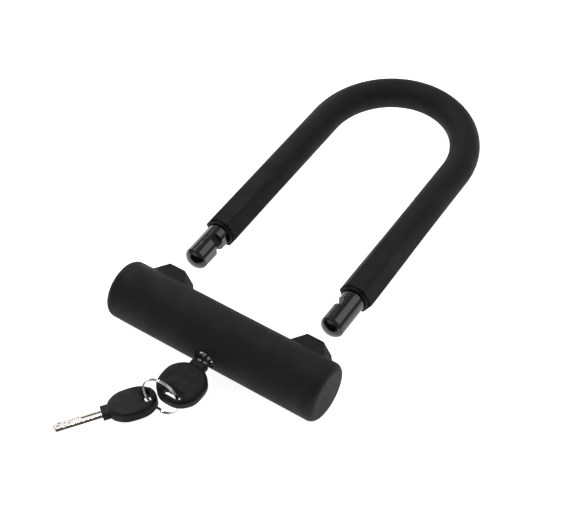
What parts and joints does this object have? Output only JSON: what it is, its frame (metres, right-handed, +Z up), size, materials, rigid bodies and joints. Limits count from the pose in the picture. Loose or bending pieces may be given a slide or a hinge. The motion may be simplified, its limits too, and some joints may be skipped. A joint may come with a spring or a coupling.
{
  "type": "u lock",
  "caption": "Bicycle U lock: a sleeved steel shackle drawn out of a round black crossbar with a central key cylinder, a key in it and a spare key on a split ring.",
  "frame": {"origin": "centre of the outline seen from above, at the height of the crossbar's lowest line, where it lies on a table", "axes": "+X along the crossbar, +Y along the shackle's legs away from the crossbar, +Z up; the shackle lies flat"},
  "size_m": [0.1594, 0.388, 0.04],
  "materials": {
    "soft_touch_black": "soft-touch coating, matte, moulded over the steel",
    "black_steel": "gloss black on hardened steel",
    "black_plastic": "fine moulded grain",
    "hard_steel": "hardened, dark",
    "bright_steel": "machined, zinc plated",
    "nickel": "nickel plate, satin",
    "brass": "turned"
  },
  "bodies": {
    "crossbar": {"crossbar_cover": "soft_touch_black", "crossbar_tube": "hard_steel", "end_cap_left": "soft_touch_black", "end_cap_right": "soft_touch_black", "end_plug_left": "hard_steel", "end_plug_right": "hard_steel", "end_pin_left": "bright_steel", "end_pin_right": "bright_steel", "leg_socket_left": "hard_steel", "leg_socket_right": "hard_steel", "bolt_guide_left": "black_plastic", "bolt_guide_right": "black_plastic", "lock_housing": "bright_steel", "pin_cover": "bright_steel", "keyhole_bezel": "black_plastic", "driver_pin_1": "bright_steel", "driver_pin_2": "bright_steel", "driver_pin_3": "bright_steel", "driver_pin_4": "bright_steel", "driver_pin_5": "bright_steel", "driver_spring_1": "bright_steel", "driver_spring_2": "bright_steel", "driver_spring_3": "bright_steel", "driver_spring_4": "bright_steel", "driver_spring_5": "bright_steel"},
    "shackle": {"shackle_bar": "black_steel", "shackle_sleeve": "soft_touch_black", "sleeve_ring_left": "black_plastic", "sleeve_ring_right": "black_plastic"},
    "plug": {"lock_plug": "nickel", "plug_clip": "hard_steel", "drive_cam": "hard_steel", "key_pin_1": "brass", "key_pin_2": "brass", "key_pin_3": "brass", "key_pin_4": "brass", "key_pin_5": "brass"},
    "bolt_left": {"bolt_left": "hard_steel"},
    "bolt_right": {"bolt_right": "hard_steel"},
    "key": {"key_blade": "nickel", "key_bow": "black_plastic"},
    "ring": {"split_ring": "nickel"},
    "spare": {"spare_blade": "nickel", "spare_bow": "black_plastic"}
  },
  "joints": [
    {"name": "shackle_slide", "type": "slide", "parent": "crossbar", "child": "shackle", "axis": [0, -1, 0], "range_m": [0, 0.046]},
    {"name": "plug_turn", "type": "hinge", "parent": "crossbar", "child": "plug", "pos_m": [0, -0.10305, 0.02], "axis": [0, 1, 0], "range_deg": [0, 90]},
    {"name": "bolt_right_slide", "type": "slide", "parent": "crossbar", "child": "bolt_right", "axis": [1, 0, 0], "range_m": [0, 0.00594]},
    {"name": "bolt_left_slide", "type": "slide", "parent": "crossbar", "child": "bolt_left", "axis": [-1, 0, 0], "range_m": [0, 0.00594]},
    {"name": "key_slide", "type": "slide", "parent": "plug", "child": "key", "axis": [0, -1, 0], "range_m": [0, 0.032]},
    {"name": "ring_swing", "type": "hinge", "parent": "key", "child": "ring", "pos_m": [0.0032, -0.13885, 0.02], "axis": [0, 0, 1], "range_deg": [-20, 50]},
    {"name": "spare_swing", "type": "hinge", "parent": "ring", "child": "spare", "pos_m": [-0.01957, -0.14135, 0.00897], "axis": [-0.4839, 0.0863, 0.8708], "range_deg": [-40, 10]}
  ],
  "couplings": [
    {"joint": "bolt_right_slide", "follows": "plug_turn", "m_per_rad": 0.003781},
    {"joint": "bolt_left_slide", "follows": "plug_turn", "m_per_rad": 0.003781}
  ]
}
